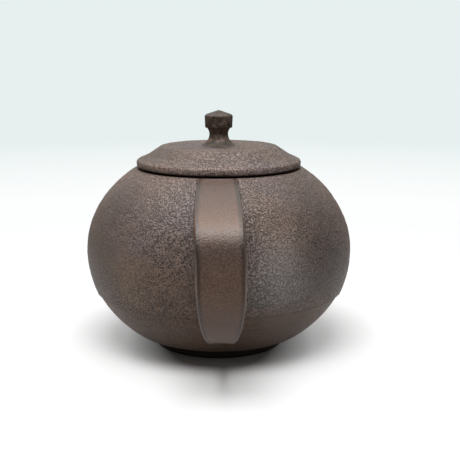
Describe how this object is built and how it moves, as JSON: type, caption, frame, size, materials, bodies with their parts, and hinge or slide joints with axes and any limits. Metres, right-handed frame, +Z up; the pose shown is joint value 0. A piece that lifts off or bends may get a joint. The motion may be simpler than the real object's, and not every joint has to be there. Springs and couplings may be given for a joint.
{
  "type": "back-handle teapot",
  "caption": "Squat unglazed stoneware teapot with a strap handle opposite its spout, a built-in pierced strainer and a lift-off lid with a knob.",
  "frame": {"origin": "on the body's axis at table level, midway between handle and spout", "axes": "+Z up along the body's axis, +Y towards the spout, -Y towards the handle"},
  "size_m": [0.1014, 0.1625, 0.0898],
  "materials": {
    "textured_stoneware": "unglazed, fine leather-like wrinkle, satin sheen",
    "trimmed_stoneware": "unglazed, turned and sponged, dull satin",
    "smooth_stoneware": "unglazed, burnished smooth, satin"
  },
  "bodies": {
    "pot": {"body": "textured_stoneware", "foot_ring": "trimmed_stoneware", "spout": "textured_stoneware", "strainer": "trimmed_stoneware", "handle": "smooth_stoneware"},
    "lid": {"lid": "textured_stoneware", "lid_flange": "trimmed_stoneware", "knob": "smooth_stoneware"}
  },
  "joints": [
    {"name": "lid_lift", "type": "slide", "parent": "pot", "child": "lid", "axis": [0, 0, 1], "range_m": [0, 0.04]}
  ]
}
